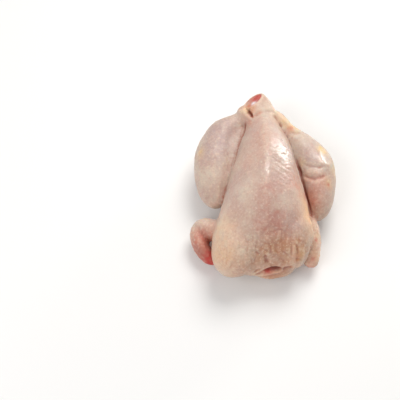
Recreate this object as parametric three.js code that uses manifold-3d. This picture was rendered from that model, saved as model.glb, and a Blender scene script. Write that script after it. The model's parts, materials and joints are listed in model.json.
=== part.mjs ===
// A raw poussin: a young chicken, plucked and drawn, lying on its back with its breast up.
// Millimetres, +Z up. +Y points from the neck end to the tail, and z = 0 is the surface it lies on.
// Every form is the grid of a unit sphere with its points put where a formula says, and the
// forms are joined into the one closed solid that the bird is.
import * as THREE from 'three';
import { mergeVertices } from 'three/addons/utils/BufferGeometryUtils.js';
import Module from 'manifold-3d';

// The torso's stations from the neck end to the tail end: where along the bird each one is,
// how far its middle is to the side, its half width, the heights of its keel, back and widest
// level, and how square its upper section is.
const TORSO_STATIONS = [
  { y: -87, x: -8, width: 38, keel: 36, back: 8, waist: 22, square: 2.3 },
  { y: -72, x: -7, width: 42, keel: 53, back: 3, waist: 25, square: 2.3 },
  { y: -50, x: -5, width: 40, keel: 66, back: -3, waist: 28, square: 2.2 },
  { y: -25, x: -3, width: 34, keel: 71, back: -3, waist: 30, square: 2.05 },
  { y: 0, x: -1, width: 28, keel: 70, back: -3, waist: 31, square: 2 },
  { y: 25, x: 0, width: 23, keel: 64, back: 0, waist: 31, square: 2 },
  { y: 45, x: 0, width: 18, keel: 55, back: 4, waist: 31, square: 2 },
  { y: 66, x: 0, width: 14, keel: 46, back: 10, waist: 30, square: 2 },
];
const TORSO_BLUNTNESS = 3;
const UNDERSIDE_POWER = 0.9;
const KEEL_RIDGE = { height: 2, halfWidth: 7 };

// The legs: the drumstick folded up beside the breast, and the thigh that joins it to the back.
// The left leg lies nearer the tail than the right one.
const LEG_RIGHT = [
  { at: [40, -38, 20], wide: 13, high: 13 },
  { at: [43, -23, 22], wide: 16, high: 17 },
  { at: [43, -5, 25], wide: 18, high: 18 },
  { at: [40, 12, 28], wide: 18, high: 17 },
  { at: [33, 25, 31], wide: 14, high: 14 },
  { at: [22, 38, 35], wide: 9, high: 10 },
  { at: [14, 50, 38], wide: 8, high: 9 },
  { at: [5, 60, 41], wide: 7, high: 7 },
];
const LEG_LEFT = [
  { at: [-40, -24, 20], wide: 13, high: 13 },
  { at: [-43, -8, 22], wide: 16, high: 17 },
  { at: [-42, 12, 25], wide: 18, high: 18 },
  { at: [-39, 28, 27], wide: 17, high: 17 },
  { at: [-32, 42, 31], wide: 14, high: 14 },
  { at: [-21, 51, 35], wide: 9, high: 10 },
  { at: [-10, 58, 39], wide: 7, high: 7 },
];
const THIGH_RIGHT = [
  { at: [16, 44, 28], wide: 12, high: 14 },
  { at: [30, 20, 21], wide: 16, high: 18 },
  { at: [35, -6, 19], wide: 17, high: 17 },
  { at: [32, -28, 19], wide: 12, high: 13 },
];
const THIGH_LEFT = [
  { at: [-15, 50, 30], wide: 11, high: 14 },
  { at: [-28, 28, 24], wide: 16, high: 18 },
  { at: [-35, 2, 19], wide: 17, high: 17 },
  { at: [-32, -20, 19], wide: 12, high: 13 },
];

// The wings, each cut off at the wrist. The right one lies along the breast, and the left one
// stands out to its elbow and comes back.
const WING_RIGHT = [
  { at: [34, -32, 20], wide: 5, high: 9 },
  { at: [36, -46, 18], wide: 7, high: 11 },
  { at: [35, -60, 16], wide: 8, high: 12 },
  { at: [33, -76, 12], wide: 8, high: 9 },
];
const UPPER_WING_LEFT = [
  { at: [-28, -54, 26], wide: 9, high: 11 },
  { at: [-41, -47, 21], wide: 9, high: 11 },
  { at: [-52, -41, 17], wide: 8, high: 10 },
  { at: [-60, -37, 15], wide: 6, high: 8 },
];
const FOREARM_LEFT = [
  { at: [-56, -34, 15], wide: 6, high: 8 },
  { at: [-58, -45, 14], wide: 7, high: 9 },
  { at: [-55, -56, 12], wide: 7, high: 8 },
  { at: [-49, -65, 10], wide: 6, high: 6 },
  { at: [-44, -70, 9], wide: 4, high: 4 },
];

// The neck end: a full lobe of breast on the left, a smaller one on the right and the folded
// edge of the neck skin below them.
const SHOULDER_LEFT = [
  { at: [-28, -86, 18], wide: 15, high: 14 },
  { at: [-29, -74, 25], wide: 19, high: 21 },
  { at: [-26, -56, 31], wide: 20, high: 24 },
  { at: [-18, -30, 34], wide: 19, high: 25 },
];
const SHOULDER_RIGHT = [
  { at: [16, -81, 20], wide: 12, high: 12 },
  { at: [17, -70, 27], wide: 14, high: 18 },
  { at: [17, -53, 33], wide: 18, high: 23 },
  { at: [12, -30, 36], wide: 15, high: 25 },
];
const NECK_FOLD = [
  { at: [-14, -80, 13], wide: 4, high: 5 },
  { at: [-3, -82, 14], wide: 5, high: 6 },
  { at: [10, -81, 15], wide: 5, high: 6 },
  { at: [21, -77, 18], wide: 4, high: 5 },
];

// The tail end: the roll of skin above the vent, the lobe beside it and the tail under both.
const VENT_ROLL = [
  { at: [1, 38, 43], wide: 15, high: 10 },
  { at: [-1, 50, 43], wide: 14, high: 10 },
  { at: [-3, 62, 44], wide: 12, high: 9 },
  { at: [-3, 73, 46], wide: 10, high: 8 },
];
const VENT_LOBE = [
  { at: [-10, 46, 38], wide: 7, high: 8 },
  { at: [-14, 55, 39], wide: 7, high: 8 },
  { at: [-14, 64, 41], wide: 6, high: 6 },
];
const TAIL = [
  { at: [0, 46, 24], wide: 16, high: 14 },
  { at: [0, 58, 22], wide: 13, high: 11 },
  { at: [0, 68, 23], wide: 9, high: 8 },
  { at: [0, 77, 27], wide: 5, high: 5 },
];
const LIMB_BLUNTNESS = 2.6;

// How many sides a form has round it, and how many rows along it.
const TORSO_GRID = { around: 52, along: 40 };
const LIMB_GRID = { around: 20, along: 19 };

// The end of the roll is cut off square to this direction, at this distance from the back's point.
const CUT = { facing: [-0.478, 0.457, 0.75], at: 68.6 };

// The block below the surface that the bird lies on, which flattens its back.
const BELOW = { width: 200, length: 250, depth: 40 };

// Where the middle of the bird's length and width lies among the stations.
const MIDDLE = { x: -2.16, y: -5.77 };

const UP = new THREE.Vector3(0, 0, 1);

// A function that gives every named value of a table of stations where its key has the value at.
function smoothStations(stations, key) {
  const names = Object.keys(stations[0]).filter((name) => name !== key);
  const places = stations.map((station) => station[key]);
  const values = stations.flatMap((station) => names.map((name) => station[name]));
  const curve = new THREE.CubicInterpolant(places, values, names.length, new Float64Array(names.length));
  return (at) => {
    const found = curve.evaluate(at);
    return Object.fromEntries(names.map((name, i) => [name, found[i]]));
  };
}

// How far a form with rounded ends has reached its full section at a share of its length.
function roundedEnds(share, bluntness) {
  return Math.max(0, 1 - Math.abs(2 * share - 1) ** bluntness) ** (1 / bluntness);
}

// A closed form: each point of a unit sphere's grid is put where place says.
function closedForm({ around, along }, place) {
  const grid = new THREE.SphereGeometry(1, around, along);
  grid.deleteAttribute('normal');
  grid.deleteAttribute('uv');
  const form = mergeVertices(grid, 1e-5);
  const points = form.attributes.position;
  const point = new THREE.Vector3();
  for (let i = 0; i < points.count; i++) {
    point.fromBufferAttribute(points, i);
    place(point);
    points.setXYZ(i, point.x, point.y, point.z);
  }
  return form;
}

// Raises a number to a power and keeps its sign.
function signedPower(value, power) {
  return Math.sign(value) * Math.abs(value) ** power;
}

// The torso with the breast: a section carried from the neck end to the tail end.
function torso() {
  const stationAt = smoothStations(TORSO_STATIONS, 'y');
  const front = TORSO_STATIONS[0].y;
  const length = TORSO_STATIONS.at(-1).y - front;
  return closedForm(TORSO_GRID, (point) => {
    const share = (1 + point.y) / 2;
    const ring = Math.hypot(point.x, point.z) || 1;
    const rise = point.z / ring;
    const y = front + length * share;
    const at = stationAt(y);
    const fullness = roundedEnds(share, TORSO_BLUNTNESS);
    const power = rise > 0 ? 2 / at.square : UNDERSIDE_POWER;
    const x = at.width * fullness * signedPower(point.x / ring, power);
    const reach = rise > 0 ? at.keel - at.waist : at.waist - at.back;
    const ridge = rise > 0 ? KEEL_RIDGE.height * Math.exp(-((x / KEEL_RIDGE.halfWidth) ** 2)) : 0;
    point.set(at.x + x, y, at.waist + fullness * (reach * signedPower(rise, power) + ridge));
  });
}

// A limb: an oval section carried along a smooth path. Each station gives the path's
// point and the section's half width and half height there.
function limb(stations) {
  const path = new THREE.CatmullRomCurve3(stations.map(({ at }) => new THREE.Vector3(...at)));
  const last = stations.length - 1;
  const sections = stations.map(({ wide, high }, i) => ({ share: i / last, wide, high }));
  const sectionAt = smoothStations(sections, 'share');
  return closedForm(LIMB_GRID, (point) => {
    const share = (1 + point.y) / 2;
    const ring = Math.hypot(point.x, point.z) || 1;
    const fullness = roundedEnds(share, LIMB_BLUNTNESS);
    const { wide, high } = sectionAt(share);
    const centre = path.getPoint(share);
    const tangent = path.getTangent(share);
    const side = new THREE.Vector3().crossVectors(tangent, UP).normalize();
    const over = new THREE.Vector3().crossVectors(side, tangent);
    const across = (fullness * wide * point.x) / ring;
    const rise = (fullness * high * point.z) / ring;
    point.copy(centre).addScaledVector(side, across).addScaledVector(over, rise);
  });
}

// A block that starts at the cut and lies on its outer side.
function cutBlock() {
  const facing = new THREE.Vector3(...CUT.facing).normalize();
  const block = new THREE.BoxGeometry(BELOW.width, BELOW.width, BELOW.depth);
  block.applyQuaternion(new THREE.Quaternion().setFromUnitVectors(UP, facing));
  const { x, y, z } = facing.multiplyScalar(CUT.at + BELOW.depth / 2);
  return block.translate(x, y, z);
}

// A block's corners joined, so that it's closed.
function closedBlock(block) {
  block.deleteAttribute('normal');
  block.deleteAttribute('uv');
  return mergeVertices(block);
}

// Every form joined, with the roll cut off at its end and the back cut flat where it rests.
async function poussinGeometry() {
  const wasm = await Module();
  wasm.setup();
  const toSolid = (form) =>
    new wasm.Manifold(
      new wasm.Mesh({
        numProp: 3,
        vertProperties: form.attributes.position.array,
        triVerts: new Uint32Array(form.index.array),
      }),
    );
  const limbs = [
    LEG_RIGHT,
    LEG_LEFT,
    THIGH_RIGHT,
    THIGH_LEFT,
    WING_RIGHT,
    UPPER_WING_LEFT,
    FOREARM_LEFT,
    SHOULDER_LEFT,
    SHOULDER_RIGHT,
    NECK_FOLD,
    VENT_LOBE,
    TAIL,
  ];
  const solids = limbs.map((stations) => toSolid(limb(stations)));
  solids.push(toSolid(limb(VENT_ROLL)).subtract(toSolid(closedBlock(cutBlock()))));
  const joined = solids.reduce((whole, solid) => whole.add(solid), toSolid(torso()));
  const below = new THREE.BoxGeometry(BELOW.width, BELOW.length, BELOW.depth);
  below.translate(0, 0, -BELOW.depth / 2);
  const mesh = joined.subtract(toSolid(closedBlock(below))).getMesh();
  const geometry = new THREE.BufferGeometry();
  geometry.setAttribute('position', new THREE.BufferAttribute(new Float32Array(mesh.vertProperties), 3));
  geometry.setIndex(new THREE.BufferAttribute(new Uint32Array(mesh.triVerts), 1));
  return geometry.translate(-MIDDLE.x, -MIDDLE.y, 0);
}

const poussin = new THREE.Mesh(
  await poussinGeometry(),
  new THREE.MeshStandardMaterial({ color: 0xdcb9a4, roughness: 0.45, metalness: 0 }),
);
poussin.name = 'poussin';

const bird = new THREE.Group();
bird.add(poussin);

export default bird;
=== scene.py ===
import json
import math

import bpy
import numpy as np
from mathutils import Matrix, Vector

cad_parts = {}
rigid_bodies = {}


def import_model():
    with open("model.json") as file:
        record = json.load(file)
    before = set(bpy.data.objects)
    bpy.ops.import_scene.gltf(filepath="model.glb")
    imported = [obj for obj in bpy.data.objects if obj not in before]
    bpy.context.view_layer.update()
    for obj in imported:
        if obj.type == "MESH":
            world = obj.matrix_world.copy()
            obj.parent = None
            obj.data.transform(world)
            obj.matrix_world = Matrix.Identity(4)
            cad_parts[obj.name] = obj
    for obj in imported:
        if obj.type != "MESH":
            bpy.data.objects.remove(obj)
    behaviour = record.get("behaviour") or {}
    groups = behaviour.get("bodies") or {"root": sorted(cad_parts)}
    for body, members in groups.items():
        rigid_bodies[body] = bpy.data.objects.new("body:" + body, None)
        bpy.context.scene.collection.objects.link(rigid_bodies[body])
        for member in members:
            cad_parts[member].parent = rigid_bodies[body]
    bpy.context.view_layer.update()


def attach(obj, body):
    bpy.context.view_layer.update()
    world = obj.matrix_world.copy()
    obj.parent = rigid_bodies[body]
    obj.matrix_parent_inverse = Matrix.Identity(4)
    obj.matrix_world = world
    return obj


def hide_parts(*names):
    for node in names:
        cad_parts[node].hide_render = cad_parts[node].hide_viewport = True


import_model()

# %% [markdown]
# # A raw poussin
#
# The bird lies on its back with its breast up, and its skin runs on without a seam from the
# breast over the legs, the wings and the neck end. So it is one piece here too. Each of its
# masses is first a closed surface worked out with numpy, then all of them are melted into one
# skin, and folds, pimples and colours are worked out on that skin.

# %% Start: the box of the solid that this skin has to fit

MM = 0.001

# Heights and places below are millimetres from a point on the bird's back, and MIDDLE is where
# the middle of its length and width lies from there.
MIDDLE = np.array([-2.16, -5.77, 0.0])

# %% [markdown]
# ## Camera, light and floor
#
# A tray pack is photographed from above and a little from the neck end, with a long lens. A
# large soft box high over the tail lights the breast and the tops of the legs, and a weaker one
# that no reflection shows fills the neck end from the left. The wet glints come from a smaller
# window, low on the right behind the tail, so they gather on the right side of the breast
# and on the right knee. One lamp for everything would put them all along the keel.

# %% Camera, light and floor

ELEVATION = math.radians(62)
AZIMUTH = math.radians(-2)
AIM = Vector((-0.0528, 0.0007, 0.0))
DISTANCE = 0.793
LENS = 82.08


def towards(azimuth, elevation):
    """The unit vector that points from the bird to a place in the given direction."""
    level = math.cos(elevation)
    return Vector((math.sin(azimuth) * level, -math.cos(azimuth) * level, math.sin(elevation)))


camera = bpy.data.objects.new("camera", bpy.data.cameras.new("camera"))
camera.location = AIM + towards(AZIMUTH, ELEVATION) * DISTANCE
camera.rotation_euler = (-towards(AZIMUTH, ELEVATION)).to_track_quat("-Z", "Y").to_euler()
camera.data.sensor_width = 36
camera.data.lens = LENS
bpy.context.scene.collection.objects.link(camera)
bpy.context.scene.camera = camera


def soft_box(name, towards_it, distance, size, watts, colour, glints=True):
    """A square lamp in a direction from the bird, turned to face it, that may show in wet skin."""
    lamp = bpy.data.lights.new(name, "AREA")
    lamp.shape = "SQUARE"
    lamp.size = size
    lamp.energy = watts
    lamp.color = colour
    box = bpy.data.objects.new(name, lamp)
    box.location = Vector(towards_it).normalized() * distance + Vector((0, 0, 0.03))
    box.rotation_euler = Vector(towards_it).to_track_quat("Z", "Y").to_euler()
    box.visible_glossy = glints
    bpy.context.scene.collection.objects.link(box)


soft_box("key_light", (0.22, 0.48, 0.84), 1.1, 0.62, 7.5, (1.0, 0.985, 0.96))
soft_box("fill_light", (-0.60, -0.50, 0.75), 1.1, 0.70, 4.8, (0.98, 0.985, 1.0), glints=False)
soft_box("window", (0.70, 0.68, 0.17), 1.0, 0.28, 2.4, (1.0, 0.99, 0.98))

room = bpy.data.worlds.new("room")
room.use_nodes = True
room.node_tree.nodes["Background"].inputs["Color"].default_value = (1.0, 0.99, 0.98, 1)
room.node_tree.nodes["Background"].inputs["Strength"].default_value = 0.42
bpy.context.scene.world = room
bpy.context.scene.view_settings.view_transform = "Standard"

FLOOR_HALF = 1.5
floor_mesh = bpy.data.meshes.new("floor")
floor_corners = [(x * FLOOR_HALF, y * FLOOR_HALF, 0) for x, y in ((-1, -1), (1, -1), (1, 1), (-1, 1))]
floor_mesh.from_pydata(floor_corners, [], [(0, 1, 2, 3)])
floor = bpy.data.objects.new("floor", floor_mesh)
bpy.context.scene.collection.objects.link(floor)
paint = bpy.data.materials.new("floor_paint")
paint.use_nodes = True
paint.node_tree.nodes["Principled BSDF"].inputs["Base Color"].default_value = (0.90, 0.895, 0.885, 1)
paint.node_tree.nodes["Principled BSDF"].inputs["Roughness"].default_value = 0.6
floor_mesh.materials.append(paint)
print("camera at", [round(v, 3) for v in camera.location])

# %% [markdown]
# ## Closed forms on a grid
#
# A mass of flesh is round across and blunt at both ends. Its surface is a function of two
# parameters: the angle round it and the share of its length. The section comes from a short
# table of stations, with a cubic curve between them, so a few numbers give a smooth limb.
# Sculpting by hand would look as good, but could not be rebuilt from a script.

# %% Helpers: tables, blunt ends and closed grids


def at_table(table, places):
    """Smooth values between the rows of a table whose first column says where each row lies.

    Between two rows the value follows the cubic that meets both rows and has, at each, the slope
    that the neighbouring rows give.
    """
    table = np.asarray(table, float)
    known, values = table[:, 0], table[:, 1:]
    slopes = np.gradient(values, known, axis=0)
    row = np.clip(np.searchsorted(known, places) - 1, 0, len(known) - 2)
    step = (known[row + 1] - known[row])[..., None]
    t = (places - known[row])[..., None] / step
    start = values[row] * (1 + 2 * t) * (1 - t) ** 2 + slopes[row] * step * t * (1 - t) ** 2
    end = values[row + 1] * t**2 * (3 - 2 * t) + slopes[row + 1] * step * t**2 * (t - 1)
    return start + end


def blunt_ends(share, bluntness):
    """How full the section is at a share of the length: nothing at both ends, whole between.

    It is the height of a superellipse, so a larger bluntness gives flatter ends.
    """
    return np.maximum(0, 1 - np.abs(2 * share - 1) ** bluntness) ** (1 / bluntness)


def grid(sides, rings):
    """The angle round a form and the share along it, as arrays of rings + 1 rows of sides.

    Shares follow a cosine, so rows crowd together where the ends curve most.
    """
    turn = np.arange(sides) * 2 * np.pi / sides
    share = (1 - np.cos(np.linspace(0, np.pi, rings + 1))) / 2
    return np.meshgrid(turn, share)


def closed_form(points):
    """Vertices and faces of a grid of points whose first and last rows are single poles."""
    rings, sides = points.shape[0] - 1, points.shape[1]
    vertices = np.concatenate([points[:1, 0], points[1:-1].reshape(-1, 3), points[-1:, 0]])
    row, column = np.meshgrid(np.arange(rings - 2), np.arange(sides), indexing="ij")
    here = 1 + row * sides + column
    beside = 1 + row * sides + (column + 1) % sides
    quads = np.stack([here, beside, beside + sides, here + sides], axis=-1).reshape(-1, 4)
    around = np.arange(sides)
    first = 1 + around
    last = first + (rings - 2) * sides
    after = (around + 1) % sides - around
    start_cap = np.stack([np.zeros(sides, int), first + after, first], axis=-1)
    end_cap = np.stack([np.full(sides, len(vertices) - 1), last, last + after], axis=-1)
    return vertices, quads, np.concatenate([start_cap, end_cap])


def signed_power(value, power):
    """The power of a number's size, with its sign kept."""
    return np.sign(value) * np.abs(value) ** power


# %% [markdown]
# ## The body
#
# The breast is one long boat shape: broad and blunt at the neck end, narrow at the tail, with
# the keel of the breastbone as a soft ridge on top. Its section is a superellipse above the
# widest level and a rounder one below. A lofted curve would need a profile for every station;
# the formula needs seven numbers.

# %% Body

# y, middle x, half width, keel height, back height, widest level, squareness
BODY_STATIONS = [
    (-87, -8, 38, 36, 8, 22, 2.3),
    (-72, -7, 42, 53, 3, 25, 2.3),
    (-50, -5, 40, 66, -3, 28, 2.2),
    (-25, -3, 34, 71, -3, 30, 2.05),
    (0, -1, 28, 70, -3, 31, 2.0),
    (25, 0, 23, 64, 0, 31, 2.0),
    (45, 0, 18, 55, 4, 31, 2.0),
    (66, 0, 14, 46, 10, 30, 2.0),
]
BODY_BLUNTNESS = 3.0
KEEL_HEIGHT = 2.0
KEEL_HALF_WIDTH = 7.0
UNDERSIDE_POWER = 0.9


def body_points(turn, share):
    """The body at an angle and a share: a superellipse above the widest level, carried along +Y.

    Across, a point is the half width times the cosine of the angle, and in height the reach to
    keel or back times its sine, both raised to a power. The keel adds a bell curve on top.
    """
    front, rear = BODY_STATIONS[0][0], BODY_STATIONS[-1][0]
    y = front + (rear - front) * share
    middle, width, keel, back, waist, square = np.moveaxis(at_table(BODY_STATIONS, y), -1, 0)
    full = blunt_ends(share, BODY_BLUNTNESS)
    above = np.sin(turn) > 0
    power = np.where(above, 2 / square, UNDERSIDE_POWER)
    x = width * full * signed_power(np.cos(turn), power)
    reach = np.where(above, keel - waist, waist - back)
    ridge = np.where(above, KEEL_HEIGHT * np.exp(-((x / KEEL_HALF_WIDTH) ** 2)), 0)
    z = waist + full * (reach * signed_power(np.sin(turn), power) + ridge)
    return np.stack([middle + x, y, z], axis=-1)


forms = [closed_form(body_points(*grid(160, 120)))]
print("body:", len(forms[0][0]), "points")

# %% [markdown]
# ## Legs, wings, neck end and tail end
#
# Each of these is an oval section carried along a smooth path. The drumstick lies folded up
# beside the breast and ends in a bare shank at the tail, with the thigh under it. The wings are
# cut off at the wrist. Two lobes of breast and a folded edge of neck skin close the neck end, and
# a roll of skin stands over the vent with the tail below it. The legs, wings and lobes are as
# uneven as on the real bird, so no side is a mirror image of the other.

# %% Limbs

# Each row: x, y, z of the path, then the section's half width and half height.
LIMBS = {
    "leg_right": [
        (40, -38, 20, 13, 13), (43, -23, 22, 16, 17), (43, -5, 25, 18, 18), (40, 12, 28, 18, 17),
        (33, 25, 31, 14, 14), (22, 38, 35, 9, 10), (14, 50, 38, 8, 9), (5, 60, 41, 7, 7),
    ],
    "leg_left": [
        (-40, -24, 20, 13, 13), (-43, -8, 22, 16, 17), (-42, 12, 25, 18, 18), (-39, 28, 27, 17, 17),
        (-32, 42, 31, 14, 14), (-21, 51, 35, 9, 10), (-10, 58, 39, 7, 7),
    ],
    "thigh_right": [(16, 44, 28, 12, 14), (30, 20, 21, 16, 18), (35, -6, 19, 17, 17), (32, -28, 19, 12, 13)],
    "thigh_left": [
        (-15, 50, 30, 11, 14), (-28, 28, 24, 16, 18), (-35, 2, 19, 17, 17), (-32, -20, 19, 12, 13),
    ],
    "wing_right": [(34, -32, 20, 5, 9), (36, -46, 18, 7, 11), (35, -60, 16, 8, 12), (33, -76, 12, 8, 9)],
    "drumette_left": [
        (-28, -54, 26, 9, 11), (-41, -47, 21, 9, 11), (-52, -41, 17, 8, 10), (-60, -37, 15, 6, 8),
    ],
    "forearm_left": [
        (-56, -34, 15, 6, 8), (-58, -45, 14, 7, 9), (-55, -56, 12, 7, 8), (-49, -65, 10, 6, 6),
        (-44, -70, 9, 4, 4),
    ],
    "shoulder_left": [
        (-28, -86, 18, 15, 14), (-29, -74, 25, 19, 21), (-26, -56, 31, 20, 24), (-18, -30, 34, 19, 25),
    ],
    "shoulder_right": [
        (16, -81, 20, 12, 12), (17, -70, 27, 14, 18), (17, -53, 33, 18, 23), (12, -30, 36, 15, 25),
    ],
    "neck_fold": [(-14, -80, 13, 4, 5), (-3, -82, 14, 5, 6), (10, -81, 15, 5, 6), (21, -77, 18, 4, 5)],
    "vent_roll": [(1, 38, 43, 15, 10), (-1, 50, 43, 14, 10), (-3, 62, 44, 12, 9), (-3, 73, 46, 10, 8)],
    "vent_lobe": [(-10, 46, 38, 7, 8), (-14, 55, 39, 7, 8), (-14, 64, 41, 6, 6)],
    "tail": [(0, 46, 24, 16, 14), (0, 58, 22, 13, 11), (0, 68, 23, 9, 8), (0, 77, 27, 5, 5)],
}
LIMB_BLUNTNESS = 2.6
SLOPE_STEP = 1e-3


def limb_points(stations, turn, share):
    """A limb at an angle and a share: an oval ring square to a smooth path through the stations.

    The ring lies in the plane of the path's level side direction and the direction over it.
    """
    rows = np.column_stack([np.linspace(0, 1, len(stations)), stations])
    here = at_table(rows, share)
    ahead = at_table(rows, np.minimum(share + SLOPE_STEP, 1))[..., :3]
    behind = at_table(rows, np.maximum(share - SLOPE_STEP, 0))[..., :3]
    along = ahead - behind
    side = np.cross(along, (0.0, 0.0, 1.0))
    side /= np.linalg.norm(side, axis=-1, keepdims=True)
    over = np.cross(side, along)
    over /= np.linalg.norm(over, axis=-1, keepdims=True)
    full = blunt_ends(share, LIMB_BLUNTNESS)
    across = (full * here[..., 3] * np.cos(turn))[..., None]
    rise = (full * here[..., 4] * np.sin(turn))[..., None]
    return here[..., :3] + side * across + over * rise


for name, stations in LIMBS.items():
    forms.append(closed_form(limb_points(stations, *grid(64, 56))))
print("limbs:", ", ".join(LIMBS))

# %% [markdown]
# ## One skin over all of it
#
# The forms still pass through each other. A voxel remesh keeps only their common outside, as one
# closed skin of even squares, which folds and pimples need. A Boolean union would keep the long
# thin faces of every form and a hard edge at every join.

# %% Melt the forms into one skin

VOXEL = 0.00087


def join(parts):
    """One list of vertices and faces from many, with each part's face numbers moved on."""
    starts = np.cumsum([0] + [len(vertices) for vertices, _, _ in parts])
    vertices = np.concatenate([part[0] for part in parts])
    quads = np.concatenate([part[1] + start for part, start in zip(parts, starts)])
    caps = np.concatenate([part[2] + start for part, start in zip(parts, starts)])
    return vertices, quads.tolist() + caps.tolist()


def melted(vertices, faces, voxel):
    """The mesh of the common outside of closed forms, in squares of about the voxel's size."""
    rough = bpy.data.meshes.new("rough")
    rough.from_pydata((vertices * MM).tolist(), [], faces)
    holder = bpy.data.objects.new("rough", rough)
    bpy.context.scene.collection.objects.link(holder)
    remesh = holder.modifiers.new("melt", "REMESH")
    remesh.mode = "VOXEL"
    remesh.voxel_size = voxel
    depsgraph = bpy.context.evaluated_depsgraph_get()
    skin = bpy.data.meshes.new_from_object(holder.evaluated_get(depsgraph))
    bpy.data.objects.remove(holder)
    bpy.data.meshes.remove(rough)
    return skin


skin = melted(*join(forms), VOXEL)
skin.name = "poussin_skin"
print("skin:", len(skin.vertices), "points,", len(skin.polygons), "faces")

# %% [markdown]
# ## Skin drawn tight over the joins
#
# Skin spans the hollow where two muscles meet. Every point is drawn towards the mean of its
# neighbours, but only where that moves it outwards, so hollows fill up and rounded muscle keeps
# its shape. How far this goes differs: a shoulder runs smoothly into the breast, while the fold
# between breast and leg stays a deep crease. Beside the tail a lobe of skin has no end of its
# own, so there every point moves to the mean of its neighbours, inwards too. A plain Smooth
# modifier would shrink everything.

# %% Draw the skin over the joins

points = np.empty(len(skin.vertices) * 3, np.float32)
skin.vertices.foreach_get("co", points)
points = points.reshape(-1, 3).astype(float) / MM
edges = np.empty(len(skin.edges) * 2, np.int32)
skin.edges.foreach_get("vertices", edges)
edges = edges.reshape(-1, 2)
corners = np.empty(len(skin.loops), np.int32)
skin.loops.foreach_get("vertex_index", corners)
corners = corners.reshape(-1, 4)
degree = np.bincount(edges.ravel(), minlength=len(points))


def neighbour_mean(values):
    """The mean of each point's neighbours, for values of any number of columns."""
    columns = []
    for column in values.T:
        total = np.bincount(edges[:, 0], column[edges[:, 1]], len(points))
        total += np.bincount(edges[:, 1], column[edges[:, 0]], len(points))
        columns.append(total / degree)
    return np.stack(columns, axis=1)


def normals_of(places):
    """Each point's outward direction: the sum of the cross products of its faces' diagonals."""
    a, b, c, d = (places[corners[:, k]] for k in range(4))
    facing = np.cross(c - a, d - b)
    total = np.stack([np.bincount(corners.ravel(), np.repeat(f, 4), len(places)) for f in facing.T], axis=1)
    return total / np.linalg.norm(total, axis=1, keepdims=True)


def near(centre, radius):
    """A bell curve round a place: 1 at the centre, and nearly 0 from twice the radius on.

    It is e to the power of minus the squared distance, measured in radii. The radius is one
    number, or one for each direction.
    """
    away = (points - np.asarray(centre, float)) / np.asarray(radius, float)
    return np.exp(-(away**2).sum(axis=1))


def smoothed(places, rounds, amount=0.5):
    """Places moved towards their neighbours' mean, then back a little, so nothing shrinks."""
    for _ in range(rounds):
        places = places + amount * (neighbour_mean(places) - places)
        places = places - 1.06 * amount * (neighbour_mean(places) - places)
    return places


# Where, how wide and how strongly the skin spans the hollows between two masses.
SPANS = [
    ((-26, -56, 40), 26, 1.0), ((17, -56, 42), 22, 1.0), ((-16, -34, 45), 22, 1.0), ((10, -34, 48), 20, 1.0),
    ((44, -6, 14), 22, 0.8), ((-44, 10, 14), 22, 0.8), ((22, 40, 30), 14, 0.7), ((-22, 48, 30), 14, 0.7),
    ((0, 52, 40), 16, 0.5), ((-40, -44, 14), 12, 0.6), ((0, -80, 30), 24, 0.8),
    ((25, 22, 38), 13, 0.9), ((-15, 44, 40), 7, 1.0), ((17, 42, 42), 11, 1.0),
]
SPAN_ROUNDS = 120
LEAST_SPAN = 0.04
# The lobe beside the tail has no end of its own: there the skin is simply evened out.
MELT = ((-16, 46, 40), 6)
MELT_ROUNDS = 80

points = smoothed(points, 6)
strength = LEAST_SPAN + sum(near(centre, radius) * amount for centre, radius, amount in SPANS)
strength = np.minimum(strength, 1.0)
for _ in range(SPAN_ROUNDS):
    normals = normals_of(points)
    outwards = ((neighbour_mean(points) - points) * normals).sum(axis=1)
    points += normals * (0.6 * strength * np.maximum(outwards, 0))[:, None]
for _ in range(MELT_ROUNDS):
    points += 0.5 * near(*MELT)[:, None] * (neighbour_mean(points) - points)
points = smoothed(points, 3)
points[:, 2] = np.maximum(points[:, 2], 0)
normals = normals_of(points)
print("skin spans", int((strength > 0.5).sum()), "points of the joins")

# %% [markdown]
# ## Folds, creases and bulges
#
# A fold runs along a line on the skin, so it is made as one: every point near the line moves in or
# out along its normal, by a bell curve of its distance. Lines are short lists of places on the
# bird. The deepest are the slit where the neck was cut off and the crevice at the tail, then the
# crease beside each leg, and the rest are small wrinkles of loose skin. The roll over the vent
# ends in a flat cut: what lies beyond a plane is moved back onto it. Boolean cuts would leave
# hard edges in soft skin.

# %% Folds and bulges


def line_nearness(path, half_width, places):
    """1 on a line, falling off as a bell curve of the distance from it to each of the places.

    The half width shrinks towards both ends and so does the height, so a fold fades out.
    """
    path = np.asarray(path, float)
    count = len(path) - 1
    nearest = np.full(len(places), np.inf)
    share = np.zeros(len(places))
    for k in range(count):
        run = path[k + 1] - path[k]
        t = np.clip(((places - path[k]) @ run) / (run @ run), 0, 1)
        away = np.linalg.norm(places - path[k] - t[:, None] * run, axis=1)
        closer = away < nearest
        nearest = np.where(closer, away, nearest)
        share = np.where(closer, (k + t) / count, share)
    width = half_width * (0.35 + 0.65 * np.sin(np.pi * np.clip(share, 0.03, 0.97)) ** 0.5)
    return np.exp(-((nearest / width) ** 2)) * np.clip(0.25 + 4 * np.minimum(share, 1 - share), 0, 1)


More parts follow.
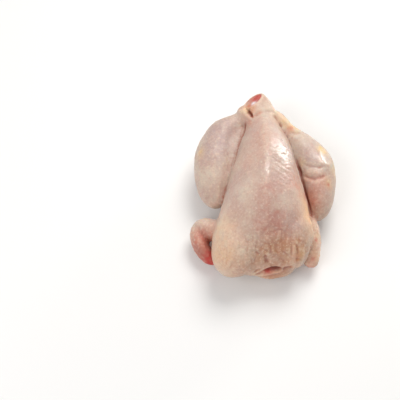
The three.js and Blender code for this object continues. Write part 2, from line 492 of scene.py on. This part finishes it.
# name: path, half width, height out of the skin (below zero for a crease)
FOLDS = {
    "leg_crease_right": (
        [(27, 12, 39), (28, 4, 38), (29, -6, 38), (31, -16, 35), (34, -27, 30), (38, -42, 24)],
        1.5, -1.7,
    ),
    "leg_crease_left": (
        [(-12, 48, 44), (-15, 42, 42), (-18, 33, 42), (-22, 20, 42), (-26, 4, 41), (-31, -16, 36)],
        1.7, -1.8,
    ),
    "leg_edge_left": ([(-17, 48, 44), (-18, 41, 43), (-20, 34, 43)], 1.4, 0.9),
    "breast_edge_right": ([(24, 0, 50), (26, -12, 46), (29, -24, 42), (33, -36, 36)], 3.0, 1.0),
    "neck_slit": ([(-6, -86, 27.5), (-1, -86, 29), (4, -85.5, 28.4), (8, -85, 27)], 1.4, -4.6),
    "slit_upper_lip": ([(-5, -86, 31), (0, -86, 32), (5, -85, 31), (9, -84, 30)], 1.3, 0.9),
    "slit_tail": ([(8, -85, 27), (13, -84, 27.5), (17, -83, 30)], 1.2, -0.7),
    "neck_lip": ([(-12, -86, 20), (-4, -87, 23), (3, -86, 25), (9, -85, 24)], 2.2, 1.4),
    "lip_hollow": ([(9, -85, 25), (13, -84, 25), (17, -82, 27)], 2.2, -1.2),
    "lip_wrinkle_a": ([(-15, -86, 25), (-11, -86, 29), (-7, -85, 33), (-3, -84, 33)], 1.1, -1.1),
    "lip_wrinkle_b": ([(-14, -86, 21), (-9, -87, 25), (-6, -86, 30)], 1.1, -0.8),
    "neck_dimple": ([(-6, -77, 41), (-5, -80, 38), (-4, -83, 34)], 1.5, -1.1),
    "lobe_crease": ([(19, -73, 47), (20, -77, 44), (20, -81, 40), (19, -83, 35)], 1.3, -1.4),
    "lobe_edge": ([(24, -72, 44), (25, -78, 38), (24, -82, 32)], 1.8, 0.9),
    "lobe_wrinkle": ([(14, -70, 51), (15, -75, 46), (15, -80, 40)], 1.1, -0.7),
    "knee_crease_upper": ([(31, 5, 40), (35, 2, 42), (39, 0, 43), (45, -1, 43), (52, 1, 40)], 1.5, -0.8),
    "knee_crease_lower": (
        [(30, -5, 38), (34, -8, 40), (40, -10.5, 41), (46, -9, 41), (53, -4, 38)], 1.6, -1.1,
    ),
    "knee_fold": ([(31, -3, 41), (38, -5, 44), (47, -6, 43)], 2.4, 0.7),
    "tail_crevice": (
        [(-14, 60, 47), (-13, 56, 49), (-12, 53, 49), (-10.5, 50, 50), (-8.5, 46, 50)], 1.8, -3.8,
    ),
    "roll_crease": ([(-9, 46, 50), (-5, 48, 52), (-1, 50, 52), (5, 51, 52), (11, 52, 48)], 2.0, -0.8),
    "strip_groove": ([(10, 50, 48), (13, 45, 46), (17, 39, 43)], 1.8, -0.4),
    "strip": ([(9, 57, 48), (15, 51, 46), (21, 45, 45), (26, 38, 44)], 2.6, 1.0),
    "strip_notch": ([(23, 32, 43), (29, 33, 44), (34, 35, 40)], 2.0, -0.8),
}
# name: centre, radius, height out of the skin
BULGES = {
    "knee_knob": ((49.5, 5, 43), 6.5, 2.6),
    "wing_end": ((37, -74, 12), (5, 5, 8), 1.5),
    "left_lobe": ((-30, -74, 38), 12, 0.8),
    "right_lobe": ((14, -76, 44), 8, 0.8),
    "breast_hollow": ((6, 0, 69), (5, 24, 12), -0.5),
    "breast_swell": ((20, 6, 58), (6, 20, 10), 1.5),
    "strip_end": ((25, 37, 45), 3.5, 0.8),
    "bone": ((-8, 62, 51), 2.2, 1.6),
}
# The end of the roll over the vent is cut off square to this direction, at this distance.
CUT_FACING = np.array([-0.478, 0.457, 0.750])
CUT_AT = 68.6
CUT_DEPTH = 0.9
CUT_EDGE = 1.5

on_roll = near((-3, 66, 48), (16, 14, 14)) > 0.2
beyond = np.maximum(points @ CUT_FACING - CUT_AT, 0) * on_roll
cut_face = np.clip(beyond / CUT_EDGE, 0, 1)
points -= CUT_FACING * (beyond + CUT_DEPTH * cut_face)[:, None]
normals = normals_of(points)
unfolded = points.copy()

lift = sum(line_nearness(path, half_width, unfolded) * height for path, half_width, height in FOLDS.values())
lift += sum(near(centre, radius) * height for centre, radius, height in BULGES.values())
points = points + normals * lift[:, None]
points[:, 2] = np.maximum(points[:, 2], 0)
# Beside the legs the skin is evened out, so that the deep creases have soft sides.
leg_creases = [FOLDS[name][0] for name in ("leg_crease_right", "leg_crease_left")]
valley = sum(line_nearness(path, 3.0, unfolded) for path in leg_creases)[:, None]
points += np.minimum(valley, 1) * (smoothed(points, 8) - points)
points = smoothed(points, 2)
normals = normals_of(points)
print("folds:", len(FOLDS), "deepest", round(float(lift.min()), 1), "mm")

# %% [markdown]
# ## Lumps, ripples and pimples
#
# Under the skin lie lumps of muscle and fat, and every feather left a pimple. Lumps are a smooth
# noise: random values at the corners of a cube lattice, mixed with a soft step. Pimples are bell
# curves round points that are scattered one to a cell, about 3 mm apart. Ripples are a wave
# whose crests the noise bends. Over the knee the skin is drawn tight, so what stands out there
# is pressed nearly flat and catches the light as one patch. All of it moves the skin itself, so
# it shows from every side.

# %% Noise and pimples


def lattice_random(cell, seed):
    """A number from 0 to 1 for each whole-numbered cell, always the same for the same seed."""
    mixed = cell[..., 0] * 73856093 ^ cell[..., 1] * 19349663 ^ cell[..., 2] * 83492791 ^ seed * 374761393
    mixed = (mixed ^ (mixed >> 13)) * 1274126177
    return ((mixed ^ (mixed >> 16)) & 0xFFFFFF) / 0xFFFFFF


def noise(places, size, seed):
    """Smooth noise from -1 to 1 whose lumps are about size wide.

    The eight corners of a place's cell have random values, mixed by the soft step 3t^2 - 2t^3.
    """
    scaled = places / size
    cell = np.floor(scaled).astype(np.int64)
    t = scaled - cell
    t = t * t * (3 - 2 * t)
    total = np.zeros(len(places))
    for corner in np.ndindex(2, 2, 2):
        weight = np.prod(np.where(corner, t, 1 - t), axis=1)
        total += weight * lattice_random(cell + corner, seed)
    return 2 * total - 1


def rough_noise(places, size, seed, octaves=3):
    """Noise with ever smaller and weaker noise added, each half as large as the last."""
    return sum(noise(places, size / 2**k, seed + k) / 2**k for k in range(octaves)) / 1.75


def pimples(places, spacing, radius, seed):
    """Bell-shaped bumps, one at a random place in each cubic cell of the spacing."""
    home = np.floor(places / spacing).astype(np.int64)
    height = np.zeros(len(places))
    for step in np.ndindex(3, 3, 3):
        cell = home + step - 1
        centre = np.stack([lattice_random(cell, seed + axis) for axis in range(3)], axis=1)
        away = np.linalg.norm(places - (cell + 0.15 + 0.7 * centre) * spacing, axis=1)
        size = 0.6 + 0.4 * lattice_random(cell, seed + 3)
        height = np.maximum(height, size * np.exp(-((away / radius) ** 2)))
    return height


# %% Relief

# Below this height the relief fades out, so the back stays flat where the bird rests on it.
FADE_HEIGHT = 6.0

rest = points.copy()
lumps = 0.6 * noise(rest, 17, 11) + 0.32 * noise(rest, 8, 12) + 0.14 * noise(rest, 3.6, 13)

# Loose, pimply skin: the neck end, both wings and the flanks. The breast is drawn tight.
loose = np.clip(
    near((-10, -84, 40), 34) + near((28, -70, 30), 26) + near((-55, -55, 14), 20) + near((0, 66, 40), 12)
    + 0.5 * near((-42, 20, 30), 30) + 0.35 * near((46, 8, 34), 26), 0, 1,
)
bumps = pimples(rest, 2.6, 0.85, 21) * (0.16 + 0.3 * loose + 0.7 * near((36, -62, 24), 15))

RIPPLE_SPACING = 2.7
RIPPLE_HEIGHT = 0.2
bend = 1.7 * noise(rest, 8, 31) + 0.8 * noise(rest, 3.5, 32)
ripple_zone = near((9, -7, 67), (8, 20, 12))
ripple_phase = 2 * np.pi * (rest[:, 1] - 0.55 * rest[:, 0] + bend) / RIPPLE_SPACING
ripples = np.sin(ripple_phase) * RIPPLE_HEIGHT * ripple_zone * (0.6 + 0.8 * noise(rest, 5, 33))
wrinkle_zone = np.clip(
    near((6, -76, 46), 22) + 0.6 * near((-22, -80, 36), 20) + 0.8 * near((34, -62, 28), 14), 0, 1,
)


def wrinkle_lines(places, across, size, seed):
    """Thin lines where a noise that is stretched along the wrinkles changes sign."""
    across = np.asarray(across, float) / np.linalg.norm(across)
    stretched = places + 1.6 * (places @ across)[:, None] * across
    return np.exp(-((noise(stretched, size, seed) / 0.24) ** 2))


crooked = rest + 0.8 * np.stack([noise(rest, 5, seed) for seed in (43, 44, 45)], axis=1)
lines = wrinkle_lines(crooked, (0.85, 0.3, -0.4), 7.5, 41)
lines += wrinkle_lines(crooked, (0.55, -0.45, 0.7), 6.5, 42)
wrinkles = -0.42 * (lines - 0.5) * wrinkle_zone * (0.75 + 0.4 * noise(rest, 9, 46)) - 0.08 * lines
wrinkles += 0.35 * noise(rest, 5, 48) * wrinkle_zone

relief = lumps + bumps + ripples + wrinkles + 0.5 * cut_face * noise(rest, 2.4, 47)
above_floor = np.clip(points[:, 2] / FADE_HEIGHT, 0, 1)
points = points + normals * (relief * above_floor)[:, None]

# %% Knee patch

# The skin is drawn nearly flat over the knee, across this direction and at this distance.
KNEE_FACING = np.array([0.555, 0.160, 0.816])
KNEE_AT = 64.0
KNEE_FLATNESS = 0.9
over_knee = np.maximum(points @ KNEE_FACING - KNEE_AT, 0) * (near((50, 5, 42), 9) > 0.2)
points -= KNEE_FACING * KNEE_FLATNESS * over_knee[:, None]
print("knee patch:", int((over_knee > 0).sum()), "points, up to", round(float(over_knee.max()), 1), "mm")
points[:, 2] = np.maximum(points[:, 2], 0)
points = smoothed(points, 1)
normals = normals_of(points)
print("relief from", round(float(relief.min()), 2), "to", round(float(relief.max()), 2), "mm")

# %% [markdown]
# ## Where each colour lies
#
# Raw skin is thin, so its colour is that of what lies under it: red breast meat, grey-lilac
# leg muscle, yellow fat, and bare red flesh and white bone at the cuts. Each of these gets an
# attribute from 0 to 1 on the skin, from bell curves round the places where it shows, broken up
# by noise; a few of these spots are partly painted shade or light, as marked below. Three more
# say where the skin is loose and pimply, where fine ripples run over the breast, and where it is
# wet. Two more hold painted shade and light: "hollow" darkens the hollows of the relief and
# lightens its ridges, and "crease" paints shade into the creases, the neck slit, the tail crevice,
# under the neck lip and over the left wing. Painting a picture would fix the colours to one view;
# attributes go right round.

# %% Colour zones


def spots(seed, *places):
    """The sum of bell curves, each given as x, y, z, radius and amount, broken up by noise."""
    total = sum(near(place[:3], place[3]) * place[4] for place in places)
    return np.clip(total * (1 + 0.55 * rough_noise(rest, 8, seed) + 0.3 * noise(rest, 3, seed)), 0, 1)


def hollowness(rounds):
    """How far a point lies below the mean of its surroundings, in millimetres."""
    around = points.copy()
    for _ in range(rounds):
        around = neighbour_mean(around)
    return ((around - points) * normals).sum(axis=1)


def seams(*names, width=1.7):
    """The sum of the folds of the given names as lines of a width."""
    return np.clip(sum(line_nearness(FOLDS[name][0], width, unfolded) for name in names), 0, 1)


ZONES = {
    # The meat spots on the left wing at (-54, -58, 16) and on the right leg's lower end at (40, -26, 36) are
    # partly painted shade: over the meat's real red they darken parts that lie in shadow.
    "meat": spots(
        51, (-8, -56, 62, 17, 0.6), (9, -62, 56, 15, 0.65), (-2, -36, 71, 12, 0.4),
        (40, -26, 36, 13, 0.6), (-54, -58, 16, 14, 1.4),
    ),
    "lilac": spots(
        52, (17, -60, 50, 11, 0.9), (44, 14, 42, 14, 0.8), (-36, 40, 44, 16, 0.9),
        (-42, 20, 44, 14, 0.9), (36, -20, 42, 10, 0.4),
    ),
    # The cream spot at the lower end of the right wing at (36, -76, 13) is painted light: it lightens a part
    # that lies in shade.
    "cream": spots(
        53, (-34, -74, 34, 16, 0.9), (-36, -56, 40, 14, 0.7), (31, -50, 42, 13, 1.0),
        (27, -34, 48, 10, 0.6), (0, -84, 18, 14, 0.6), (37, -66, 20, 16, 0.7), (36, -76, 13, 8, 0.5),
        (-10, 58, 46, 7, 0.7), (14, 50, 46, 8, 0.7),
    ),
    "tan": spots(
        54, (6, -78, 44, 17, 0.95), (-14, -82, 34, 14, 0.5), (22, -72, 40, 12, 0.7),
        (36, -36, 24, 13, 0.4), (2, 64, 52, 10, 0.4), (4, -87, 20, 11, 1.0),
    ),
    "fat": spots(
        55, (50, 17, 42, 5, 1.4), (58, 4, 30, 8, 0.7), (52, -12, 36, 4, 0.6), (31, 6, 41, 3, 0.6),
        (22, 44, 45, 6, 0.7), (28, 38, 42, 4, 1.0), (-12, 57, 48, 4, 0.8), (-53, 20, 36, 5, 0.6),
        (24, -78, 40, 5, 0.4),
    ),
    # Of the flesh spots, the two beside the right leg's crease at (33, -8, 38) and (36, -22, 34) are painted
    # shade, and the one under the neck lip at (0, -87, 20) is partly painted shade over the lip's real
    # colour.
    "flesh": spots(
        56, (24, 37, 46, 3.0, 0.9), (-11, 60, 49, 3.4, 1.1), (20, -81, 40, 4, 0.45),
        (-2.5, 49.5, 52, 2.4, 0.45), (15, -84, 28, 4, 0.5), (-9, 53, 50, 4, 0.6), (0, -87, 20, 10, 0.35),
        (33, -8, 38, 5, 0.3), (36, -22, 34, 6, 0.35),
    ),
    "raw": np.clip(
        spots(
            57, (-50, -66, 15, 7, 0.5), (-47, -71, 12, 7, 1.3), (-54, -54, 15, 11, 0.15),
            (34, -79, 8, 6, 0.5), (32, -68, 30, 1.8, 1.5), (38, -60, 27, 1.6, 0.7),
            (35, -74, 21, 2.2, 0.7), (51, -14, 37, 1.2, 0.9), (-3, -86, 27, 3.5, 0.8),
            (36, -72, 14, 4, 0.25),
        )
        + cut_face * (1.4 * near((0, 65, 51), 8) + 0.6 * near((-5, 70, 46), 8)), 0, 1,
    ),
    "bone": np.clip(near((-7.5, 61.5, 50.5), 2.3) * 1.6, 0, 1),
    # The blush spot on the left wing at (-52, -56, 17) is partly painted shade: over its real redness it
    # darkens a wing that lies in shadow.
    "blush": spots(
        58, (-12, 42, 50, 9, 0.5), (20, 30, 46, 8, 0.4), (35, -30, 33, 9, 0.9), (46, -12, 40, 9, 0.5),
        (36, -66, 22, 12, 0.2), (-52, -56, 17, 13, 1.2), (32, -74, 10, 10, 1.0), (-30, -80, 30, 12, 0.4),
        (30, -24, 40, 6, 0.5), (2, 22, 66, 14, 0.3), (-14, 0, 60, 16, 0.35), (22, -22, 57, 13, 0.7),
    ),
    # Painted light and shade: this zone darkens the hollows of the relief and lightens its ridges in the
    # colour below.
    "hollow": np.clip(0.5 + hollowness(6) / 0.9, 0, 1),
    # Painted shade: dark red-brown where shade falls, in the hollows, the neck slit, the tail crevice, the
    # creases beside the legs and the smaller folds, under the neck lip and over the left wing.
    "crease": np.clip(
        0.3 * hollowness(40) - 0.1 + 1.0 * near((-54, -62, 14), 12) + 0.3 * near((0, -87, 20), (16, 6, 7))
        + 0.95 * seams("neck_slit", width=2.2)
        + 0.8 * seams("tail_crevice", width=2.0)
        + 0.8 * seams("leg_crease_right", width=1.9)
        + 0.4 * seams("leg_crease_left", width=1.8)
        + 0.25 * seams("lobe_crease", "neck_dimple", "strip_groove", "slit_tail", "lip_hollow", width=1.8),
        0, 1,
    ),
    "loose": loose,
    "ripple": np.clip(near((9, -7, 67), (9, 20, 12)) * (1 + 0.6 * noise(rest, 6, 33)), 0, 1),
    "wet": np.clip(
        0.8 * near((-0.5, -18, 72), (3, 6, 8)) + 0.7 * near((9, -10, 68), (8, 16, 8))
        + near((16, 8, 60), (9, 30, 14)) + near((47, 6, 46), 8) + near((-7, 61, 50), 4)
        + near((0, -86, 27), 6) + 0.8 * near((38, -62, 25), 11) + 0.3 * near((4, -70, 54), 18), 0, 1,
    ),
}
for name, amount in ZONES.items():
    print(f"{name}: {100 * float((amount > 0.3).mean()):.1f}% of the skin")

# %% [markdown]
# ## The skin in the scene
#
# The finished points go back into the mesh, moved so that the middle of the bird's length and
# width is the origin, as in the solid. Faces are shaded smooth, because wet skin has no edges.
# The zones go along as attributes, so they stay on the skin wherever the bird is put.

# %% Put the skin into the scene

placed = (points - MIDDLE) * MM
skin.vertices.foreach_set("co", placed.astype(np.float32).ravel())
skin.polygons.foreach_set("use_smooth", np.ones(len(skin.polygons), bool))
for name, amount in ZONES.items():
    skin.attributes.new(name, "FLOAT", "POINT").data.foreach_set("value", amount.astype(np.float32))
skin.update()
poussin = bpy.data.objects.new("poussin_bird", skin)
bpy.context.scene.collection.objects.link(poussin)

# %% [markdown]
# ## The skin's material
#
# Light goes into raw skin and comes out again a few millimetres away, redder, so the shader
# scatters under the surface. Over the colours lies a mottle of fine noise and the net of cells
# between the pimples. The skin is moist: where it is wettest it is smoother and has a sharper
# film on top, and elsewhere it is duller, so it glints in spots. A bump adds what is too fine for
# the mesh: the grain of the skin, the thin ripples over the breast and the pores of the loose
# skin. A plain glossy paint would look like plastic.

# %% Helpers for the material's nodes


def linear(red, green, blue):
    """A screen colour from 0 to 255 as the linear colour that a shader works with."""
    values = [channel / 255 for channel in (red, green, blue)]
    return (*[v / 12.92 if v <= 0.04045 else ((v + 0.055) / 1.055) ** 2.4 for v in values], 1.0)


look = bpy.data.materials.new("raw_skin")
look.use_nodes = True
nodes, wires = look.node_tree.nodes, look.node_tree.links
shader = nodes["Principled BSDF"]
place = nodes.new("ShaderNodeTexCoord").outputs["Object"]


def texture(kind, scale, output, **settings):
    """A noise or cell texture on the piece's own coordinates, in cells to the metre."""
    node = nodes.new(kind)
    node.inputs["Scale"].default_value = scale
    for key, value in settings.items():
        if key in node.inputs:
            node.inputs[key].default_value = value
        else:
            setattr(node, key, value)
    wires.new(place, node.inputs["Vector"])
    return node.outputs[output]


def stretch(value, low, high, to_low=0.0, to_high=1.0):
    """A value between low and high spread over another range, and held at its ends."""
    node = nodes.new("ShaderNodeMapRange")
    wires.new(value, node.inputs["Value"])
    for key, number in zip(("From Min", "From Max", "To Min", "To Max"), (low, high, to_low, to_high)):
        node.inputs[key].default_value = number
    return node.outputs["Result"]


def math_node(operation, first, second):
    """Two values put together, where either may be a plain number."""
    node = nodes.new("ShaderNodeMath")
    node.operation = operation
    for slot, value in zip(node.inputs, (first, second)):
        if isinstance(value, (int, float)):
            slot.default_value = value
        else:
            wires.new(value, slot)
    return node.outputs["Value"]


def zone(name):
    """The attribute that says where a colour lies."""
    node = nodes.new("ShaderNodeAttribute")
    node.attribute_name = name
    return node.outputs["Fac"]


def over(below, colour, amount):
    """One colour laid over another by an amount."""
    node = nodes.new("ShaderNodeMix")
    node.data_type = "RGBA"
    wires.new(amount, node.inputs["Factor"])
    if isinstance(below, tuple):
        node.inputs["A"].default_value = below
    else:
        wires.new(below, node.inputs["A"])
    node.inputs[7].default_value = colour
    return node.outputs[2]


# %% Textures and colours

mottle = texture("ShaderNodeTexNoise", 160, "Fac", Detail=4.0, Roughness=0.6)
speckle = texture("ShaderNodeTexNoise", 620, "Fac", Detail=3.0, Roughness=0.65)
patches = texture("ShaderNodeTexNoise", 48, "Fac", Detail=3.0, Roughness=0.55)
pores = texture("ShaderNodeTexVoronoi", 330, "Distance", Randomness=0.9)
ripple = texture("ShaderNodeTexWave", 118, "Fac", bands_direction="DIAGONAL", Distortion=5.0)
ripple.node.inputs["Detail Scale"].default_value = 1.6
cells = texture("ShaderNodeTexVoronoi", 520, "Distance", feature="DISTANCE_TO_EDGE", Randomness=1.0)

colour = over(linear(208, 189, 172), linear(197, 168, 155), stretch(patches, 0.38, 0.62))
# zone, its colour, the noise that breaks it up, that noise's range, its weakest amount
BROKEN_UP = [
    ("meat", (184, 122, 108), mottle, 0.3, 0.65, 0.5),
    ("lilac", (186, 160, 154), mottle, 0.3, 0.6, 0.5),
    ("cream", (234, 190, 146), patches, 0.3, 0.6, 0.6),
    ("tan", (190, 136, 102), mottle, 0.3, 0.6, 0.6),
    ("blush", (206, 136, 114), mottle, 0.35, 0.6, 0.4),
    ("fat", (232, 198, 128), mottle, 0.35, 0.6, 0.4),
]
for name, screen_colour, noise_map, low_noise, high_noise, weakest in BROKEN_UP:
    broken = stretch(noise_map, low_noise, high_noise, weakest, 1.0)
    colour = over(colour, linear(*screen_colour), math_node("MULTIPLY", zone(name), broken))

# Painted light and shade: the ridges of the relief are lightened towards pale cream and its hollows darkened
# towards red-brown.
colour = over(colour, linear(240, 218, 192), math_node("MULTIPLY", stretch(zone("hollow"), 0.46, 0.2), 0.35))
colour = over(colour, linear(172, 104, 84), math_node("MULTIPLY", stretch(zone("hollow"), 0.54, 0.85), 0.55))
colour = over(colour, linear(240, 222, 200), math_node("MULTIPLY", stretch(speckle, 0.56, 0.72), 0.4))
colour = over(colour, linear(186, 132, 114), math_node("MULTIPLY", stretch(speckle, 0.46, 0.30), 0.4))
pore_tops = math_node("MULTIPLY", stretch(pores, 0.24, 0.05), math_node("MULTIPLY", zone("loose"), 0.5))
colour = over(colour, linear(238, 210, 176), pore_tops)
colour = over(colour, linear(204, 120, 80), zone("flesh"))
# Painted shade: the crease zone lays dark red-brown into the creases, slit and crevice, under the neck lip
# and over the left wing.
colour = over(colour, linear(138, 62, 42), math_node("MULTIPLY", zone("crease"), 0.9))
raw_flesh = math_node("MULTIPLY", zone("raw"), stretch(mottle, 0.3, 0.6, 0.7, 1.0))
colour = over(colour, linear(192, 58, 48), raw_flesh)
colour = over(colour, linear(240, 226, 226), zone("bone"))
wires.new(colour, shader.inputs["Base Color"])

# %% Wetness, depth and bump

dry = math_node("SUBTRACT", 0.56, math_node("MULTIPLY", zone("wet"), 0.30))
wires.new(math_node("ADD", dry, stretch(mottle, 0.3, 0.7, -0.06, 0.06)), shader.inputs["Roughness"])
shader.inputs["Subsurface Weight"].default_value = 0.35
shader.inputs["Subsurface Radius"].default_value = (1.0, 0.4, 0.25)
shader.inputs["Subsurface Scale"].default_value = 0.004
shader.inputs["Specular IOR Level"].default_value = 0.7
wires.new(math_node("ADD", 0.1, math_node("MULTIPLY", zone("wet"), 0.7)), shader.inputs["Coat Weight"])
shader.inputs["Coat Roughness"].default_value = 0.13

bump = nodes.new("ShaderNodeBump")
bump.inputs["Strength"].default_value = 0.45
bump.inputs["Distance"].default_value = 0.00035
net = math_node("MULTIPLY", stretch(cells, 0.0, 0.12), 0.5)
grain = math_node("ADD", net, math_node("MULTIPLY", speckle, 0.7))
grain = math_node("ADD", grain, math_node("MULTIPLY", ripple, math_node("MULTIPLY", zone("ripple"), 3.6)))
pimple = math_node("MULTIPLY", stretch(pores, 0.05, 0.40, 1.0, 0.0), zone("loose"))
grain = math_node("ADD", grain, math_node("MULTIPLY", pimple, 1.3))
wires.new(grain, bump.inputs["Height"])
wires.new(bump.outputs["Normal"], shader.inputs["Normal"])
skin.materials.append(look)
print("material:", len(nodes), "nodes")

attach(poussin, "root")
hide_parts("poussin")
